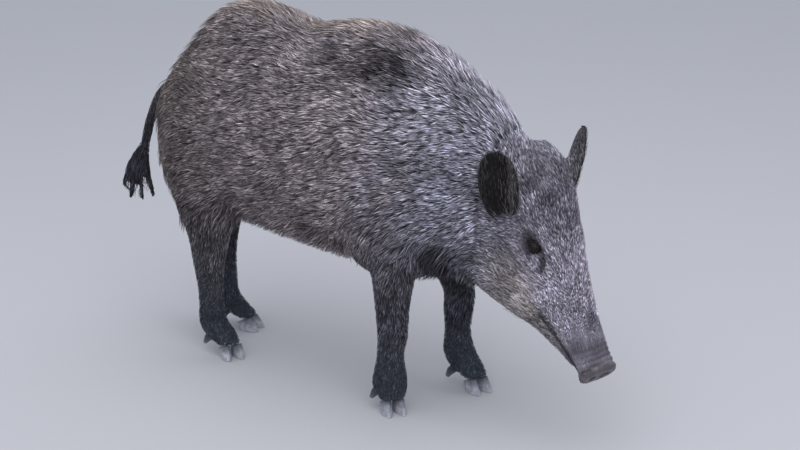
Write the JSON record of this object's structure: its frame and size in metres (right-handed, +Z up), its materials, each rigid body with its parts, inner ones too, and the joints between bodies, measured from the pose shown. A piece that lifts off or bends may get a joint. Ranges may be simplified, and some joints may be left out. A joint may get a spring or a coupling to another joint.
{
  "type": "wild boar",
  "caption": "Life-size standing wild boar sow, head held low and turned to her right, with cupped ears, cloven hooves and a tufted tail; a still museum-type figure.",
  "frame": {"origin": "middle of the bounding box, on the floor under the hooves", "axes": "+X from the tail towards the snout, +Y to the animal's left, +Z up"},
  "size_m": [1.1786, 0.3126, 0.7431],
  "materials": {
    "coat": "coarse grizzled grey-brown bristles",
    "dark_coat": "short near-black bristles",
    "snout_skin": "bare grey skin, slightly moist",
    "horn": "worn grey hoof horn",
    "eye": "wet dark brown eye"
  },
  "bodies": {
    "root": {"ear_left": "dark_coat", "ear_right": "dark_coat", "eye_left": "eye", "eye_right": "eye", "foreleg_left": "dark_coat", "foreleg_left_claw_left": "horn", "foreleg_left_claw_right": "horn", "foreleg_left_dewclaw_left": "horn", "foreleg_left_dewclaw_right": "horn", "foreleg_left_lower": "dark_coat", "foreleg_right": "dark_coat", "foreleg_right_claw_left": "horn", "foreleg_right_claw_right": "horn", "foreleg_right_dewclaw_left": "horn", "foreleg_right_dewclaw_right": "horn", "foreleg_right_lower": "dark_coat", "head": "coat", "hindleg_left": "dark_coat", "hindleg_left_claw_left": "horn", "hindleg_left_claw_right": "horn", "hindleg_left_dewclaw_left": "horn", "hindleg_left_dewclaw_right": "horn", "hindleg_left_lower": "dark_coat", "hindleg_right": "dark_coat", "hindleg_right_claw_left": "horn", "hindleg_right_claw_right": "horn", "hindleg_right_dewclaw_left": "horn", "hindleg_right_dewclaw_right": "horn", "hindleg_right_lower": "dark_coat", "hindquarters": "coat", "lower_jaw": "coat", "neck": "coat", "snout": "snout_skin", "tail": "dark_coat", "tail_tuft": "dark_coat", "trunk": "coat"}
  },
  "joints": []
}
